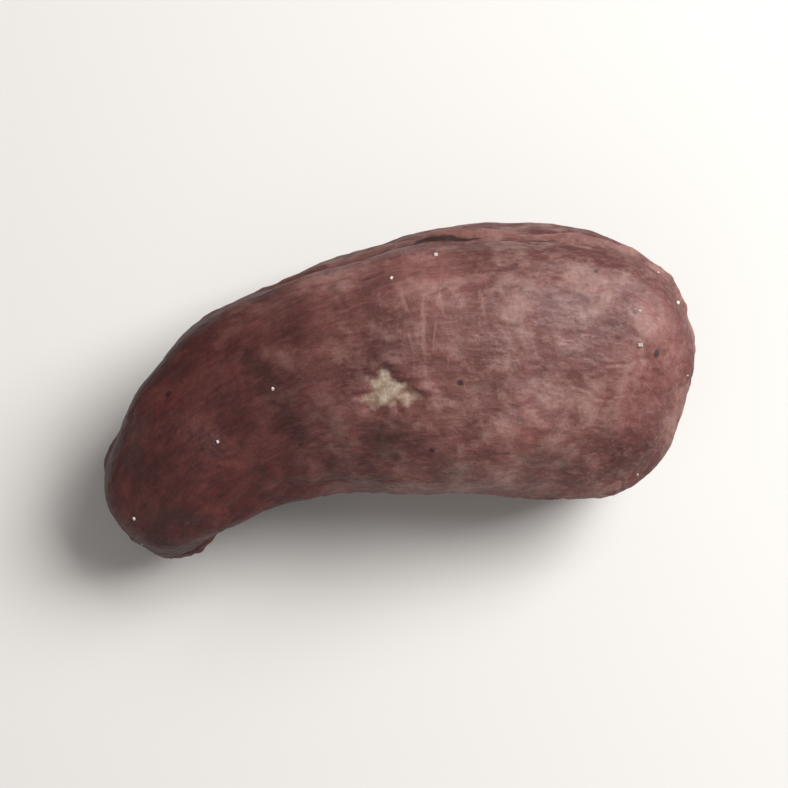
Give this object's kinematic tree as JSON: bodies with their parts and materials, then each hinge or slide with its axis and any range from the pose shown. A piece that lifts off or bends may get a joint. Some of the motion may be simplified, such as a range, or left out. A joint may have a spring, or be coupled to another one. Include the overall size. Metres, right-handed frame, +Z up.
{
  "type": "roasted cashew nut",
  "caption": "Whole roasted cashew kernel in its red-brown skin: a kidney-shaped nut with a seam round its edge, lying on its flank.",
  "frame": {"origin": "middle of the underside of the nut's bounding box, on the surface it lies on", "axes": "+X along the nut towards its fat end, +Y towards its convex back, +Z up through its thickness as it lies on its flank"},
  "size_m": [0.0284, 0.0144, 0.0115],
  "materials": {
    "roasted_skin": null
  },
  "bodies": {
    "root": {"cashew_nut": "roasted_skin"}
  },
  "joints": []
}
